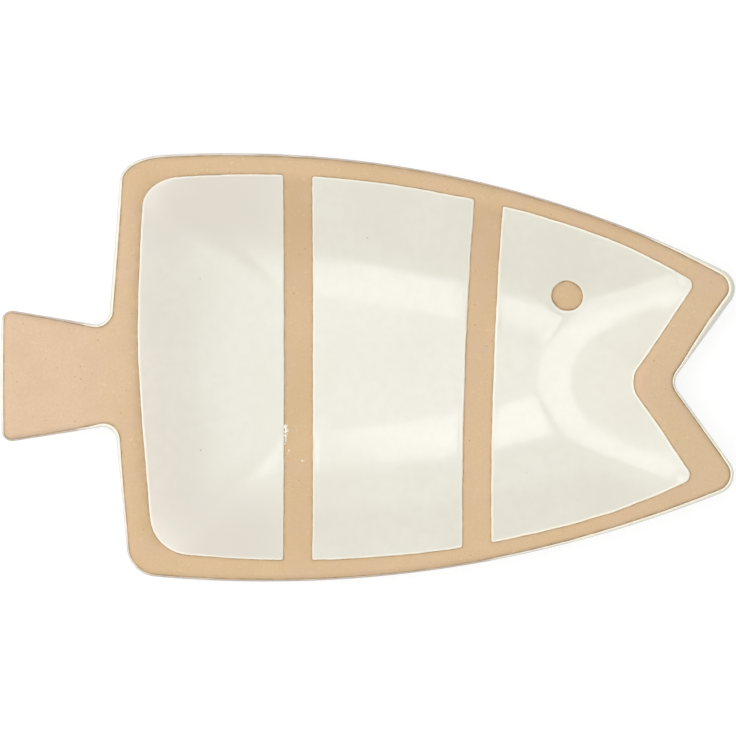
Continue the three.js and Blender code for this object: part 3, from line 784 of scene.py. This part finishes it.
top_plan, top_faces = fill([top_loop], top_extra)
top_points = raised(top_plan, height(top_plan))


def stain_and_shade(gap, strength, fade):
    """Darkening of the clay at a distance from the glaze: a dark fringe, and near the back painted shade."""
    return np.minimum(strength * np.exp(-gap / fade), 1)


gap = clearance(top_plan, panel_loops)
in_eye = inside(top_plan, [eye_loop])
near_back = np.clip((BACK_SHADE_FROM - top_plan[:, 0]) / BACK_SHADE_RUN, 0, 1)
# painted shade on the inner rounding of the back rim beside the glaze, growing towards the back
painted_back_shade = stain_and_shade(gap, BACK_SHADE * near_back, BACK_SHADE_FADE)
wide_stain_and_shade = np.where(in_eye, stain_and_shade(gap, *EYE_HAZE), painted_back_shade)
covered = inside(top_plan, [tail_loop, middle_loop, head_loop]) & ~in_eye
line_stain = np.where(in_eye, stain_and_shade(gap, *EYE_LINE), stain_and_shade(gap, *PANEL_LINE))
top_stain_and_shade = np.where(covered, 1, np.maximum(line_stain, wide_stain_and_shade))
lip_stain = np.concatenate([stain_and_shade(np.maximum(run - coat_line, 0), *LIP_LINE) for run in lip_runs])

foot_inner = FOOT_SETBACK + FOOT_WIDTH


def foot_rings():
    """Rounded dry foot, from its inside to its outside."""
    rings = []
    for middle, first in ((foot_inner - FOOT_ROUNDING, 0), (FOOT_SETBACK + FOOT_ROUNDING, 90)):
        for degrees in range(first, first + 91, 18):
            angle = math.radians(degrees)
            plan = under_plan(middle + FOOT_ROUNDING * math.cos(angle))
            rings.append(raised(plan, FOOT_ROUNDING * (1 - math.sin(angle))))
    return rings


rim_level = HEIGHT - RIM_THICKNESS
bowl = [raised(well_plan, rim_level)]
bowl += [under_ring(reach) for reach in np.linspace(0, FOOT_SETBACK, BOWL_RINGS)[1:]]
recess_reach = np.linspace(foot_inner + BASE_BARE, UPPER_WALL, RECESS_RINGS)
recess = [under_ring(reach) for reach in recess_reach]
under = under_rings()
clay_surfaces = [
    (top_points, top_faces),
    loft(under + lip_rings),
    flat([under[0][:, :2], well_plan], rim_level, UNDER_SPACING, up=False),
    loft(recess[::-1] + [under_ring(foot_inner)] + foot_rings() + bowl[::-1]),
    flat([floor_plan], FOOT_HEIGHT, RECESS_SPACING, up=False),
]
clay_edges = [np.zeros(len(points)) for points, _ in clay_surfaces]
clay_edges[0] = top_stain_and_shade
clay_edges[1][len(under) * len(clay_edge):] = lip_stain
build("clay_body", clay_surfaces, bare, ["stoneware_body"], clay_edges)


# Glaze panels in the well
def fleck(x, y, radius, base):
    """A small ragged crumb of glaze that sits on the surface."""
    turn = np.linspace(0, 2 * math.pi, FLECK_STEPS, endpoint=False)
    ragged = radius * (1 + 0.35 * np.sin(2 * turn + 9 * x) + 0.2 * np.sin(3 * turn + 7 * y))
    rings = []
    for share, lift in FLECK_SECTION:
        plan = vec(x, y) + share * ragged[:, None] * np.column_stack([np.cos(turn), np.sin(turn)])
        rings.append(raised(plan, height(plan) + base + lift * min(radius, FLECK_TALLEST)))
    return loft(rings)


def panel(name, loops, node_name, flecks=()):
    """A coat of glaze between waxed edges, the first of them its outer one."""
    steps = []
    for loop in loops:
        inward = -normals(loop) if loop is eye_loop else normals(loop)
        for step in BEHIND_EDGE:
            ring = loop + step * inward
            steps.append(ring[clearance(ring, loops) > ROW_OVERLAP * step])
    rings = np.concatenate(steps)
    grid = honeycomb(loops[0], PANEL_SPACING)
    grid = grid[inside(grid, loops)]
    grid = grid[clearance(grid, loops) > PANEL_MARGIN]
    plan, faces = fill(loops, np.concatenate([rings, grid]))
    gap = clearance(plan, loops)
    uneven = rippled(plan, GLAZE_WAVES) * np.clip(gap / WAVES_FULL, 0, 1)
    lift = swell(gap) + uneven - EDGE_TUCK * (gap < AT_EDGE)
    points = raised(plan, height(plan) + lift)
    surfaces = [(points, faces)] + [fleck(*place) for place in flecks]
    # painted highlight along the edges, stronger towards the mouth and weakest beside the eye
    highlight_share = HIGHLIGHT_LEAST + (1 - HIGHLIGHT_LEAST) * np.clip((plan[:, 0] - HIGHLIGHT_FROM) / HIGHLIGHT_RUN, 0, 1)
    highlight_share = np.where(clearance(plan, [eye_loop]) < HIGHLIGHT_BY_EYE, HIGHLIGHT_LEAST, highlight_share)
    edges = [highlight_share * highlight_line(gap)] + [np.full(len(extra[0]), FLECK_PALE) for extra in surfaces[1:]]
    build(name, surfaces, cream, [node_name], edges)


panel("tail_panel_glaze", [tail_loop], "glaze_tail_panel", FLECKS)
panel("middle_panel_glaze", [middle_loop], "glaze_middle_panel")
panel("head_panel_glaze", [head_loop, eye_loop], "glaze_head_panel")

# Glaze over the outer edge and the underside
coat = BOND + GLAZE
coat_rings = []
for share in COAT_SHARES:
    run = coat_line * (1 - share)
    coat_rings.append(lip_ring(run, swell(coat_line - run) - (EDGE_TUCK if share == 0 else 0)))
coat_rings = under_rings(coat) + coat_rings[::-1]
skirt = [ring - [0, 0, coat] for ring in bowl]
for share, rise in SKIRT_EDGE:
    skirt.append(raised(under_plan(FOOT_SETBACK - coat * share), FOOT_BARE + rise))
outside = [
    loft(coat_rings),
    flat([coat_rings[0][:, :2], well_plan], rim_level - coat, COAT_SPACING, up=False),
    loft(skirt[::-1]),
]
outside_edges = [np.zeros(len(points)) for points, _ in outside]
lip_count = len(COAT_SHARES) * len(clay_edge)
thin = np.clip((THIN_COAT - coat_reach) / THIN_FADE, 0, 1)
# painted highlight along the edge of the outer coat; where the coat is thin the line carries the thin tint
# instead
outside_edges[0][-lip_count:] = np.concatenate([
    (1 - 2 * thin) * highlight_line(coat_line * share) for share in COAT_SHARES[::-1]])
build("outer_glaze", outside, cream, ["glaze_outside"], outside_edges)

base_rings = []
for i, ring in enumerate(recess):
    base_rings.append(ring - [0, 0, coat if i else -EDGE_TUCK])
base = [loft(base_rings[::-1]), flat([floor_plan], FOOT_HEIGHT - coat, COAT_SPACING, up=False)]
base_edges = [np.zeros(len(points)) for points, _ in base]
build("base_glaze", base, cream, ["glaze_base"], base_edges)

# Floor, light and camera
FLOOR_REACH = 6.0
FLOOR_MATTE, FLOOR_SHADE, FLOOR_GLOW = 0.8, 0.24, 0.82
HORIZON_RISE, SKY_RISE, HORIZON_LEVEL, SKY_LEVEL = 0.02, 0.28, 1.3, 0.3
# Lamps that face down: level, height, and reach along and across the plate
LAMPS = (
    ("softbox_upper", 4.2, 1.325, (-0.04, 0.12), (0.14, 0.49)),
    ("softbox_lower", 4.1, 1.325, (-0.11, 0.035), (-0.58, -0.2)),
    ("softbox_side", 2.7, 1.325, (-0.8, -0.16), (-0.68, 0.44)),
    ("overhead", 1.33, 1.45, (-0.16, 0.78), (-0.2, 0.14)),
    ("ceiling", 0.95, 1.5, (-2.5, 0.78), (-0.28, 1.02)),
    ("ceiling_side", 1.4, 1.5, (-2.5, -0.95), (-1.1, -0.28)),
)
CAMERA_ABOVE_RIM, FRAME_WIDTH, SENSOR_WIDTH = 1.3, 0.3054, 36
CAMERA_ALONG, CAMERA_ACROSS = 0.0001, -0.0003

scene = bpy.context.scene
floor_mesh = bpy.data.meshes.new("studio_floor")
floor_signs = ((-1, -1), (1, -1), (1, 1), (-1, 1))
floor_mesh.from_pydata([(x * FLOOR_REACH, y * FLOOR_REACH, 0) for x, y in floor_signs], [], [(0, 1, 2, 3)])
floor = bpy.data.objects.new("studio_floor", floor_mesh)
scene.collection.objects.link(floor)


def seen_directly(tree):
    path = node(tree, "ShaderNodeLightPath").outputs
    total = sums(tree, "ADD", path["Is Camera Ray"], path["Is Glossy Ray"])
    return sums(tree, "MINIMUM", sums(tree, "ADD", total, path["Is Transmission Ray"]), 1.0)


# The floor glows where it is seen, so that it is white and still keeps the shadow
white = bpy.data.materials.new("studio_floor_white")
white.use_nodes = True
tree = white.node_tree
tree.nodes.remove(tree.nodes["Principled BSDF"])
matte = node(tree, "ShaderNodeBsdfDiffuse", Color=(FLOOR_MATTE, FLOOR_MATTE, FLOOR_MATTE))
shadow = node(tree, "ShaderNodeBsdfDiffuse", Color=(FLOOR_SHADE, FLOOR_SHADE, FLOOR_SHADE))
glow = node(tree, "ShaderNodeEmission", Color=(1, 1, 1), Strength=FLOOR_GLOW)
shown = node(tree, "ShaderNodeAddShader", _0=shadow.outputs[0], _1=glow.outputs[0])
seen = seen_directly(tree)
choice = node(tree, "ShaderNodeMixShader", _0=seen, _1=matte.outputs[0], _2=shown.outputs[0])
tree.links.new(choice.outputs[0], tree.nodes["Material Output"].inputs["Surface"])
floor_mesh.materials.append(white)

# The sky is brightest near the horizon, which lights the lip
world = bpy.data.worlds.new("studio")
scene.world = world
world.use_nodes = True
tree = world.node_tree
sky = tree.nodes["Background"]
sky.inputs["Color"].default_value = (1, 1, 1, 1)
facing = node(tree, "ShaderNodeTexCoord").outputs["Generated"]
rise = node(tree, "ShaderNodeSeparateXYZ", Vector=facing).outputs["Z"]
level = remap(tree, rise, HORIZON_RISE, SKY_RISE, HORIZON_LEVEL, SKY_LEVEL)
tree.links.new(level, sky.inputs["Strength"])

for name, lamp_level, z, (x0, x1), (y0, y1) in LAMPS:
    lamp = bpy.data.lights.new(name, "AREA")
    lamp.shape = "RECTANGLE"
    lamp.size, lamp.size_y = x1 - x0, y1 - y0
    lamp.energy = lamp_level * math.pi * lamp.size * lamp.size_y
    light = bpy.data.objects.new(name, lamp)
    light.location = ((x0 + x1) / 2, (y0 + y1) / 2, z)
    scene.collection.objects.link(light)

camera_data = bpy.data.cameras.new("camera")
camera_data.sensor_width = SENSOR_WIDTH
camera_data.lens = SENSOR_WIDTH * CAMERA_ABOVE_RIM / FRAME_WIDTH
camera = bpy.data.objects.new("camera", camera_data)
camera.location = (CAMERA_ALONG, CAMERA_ACROSS, CAMERA_ABOVE_RIM + HEIGHT * MM)
scene.collection.objects.link(camera)
scene.camera = camera
scene.view_settings.view_transform = "Standard"
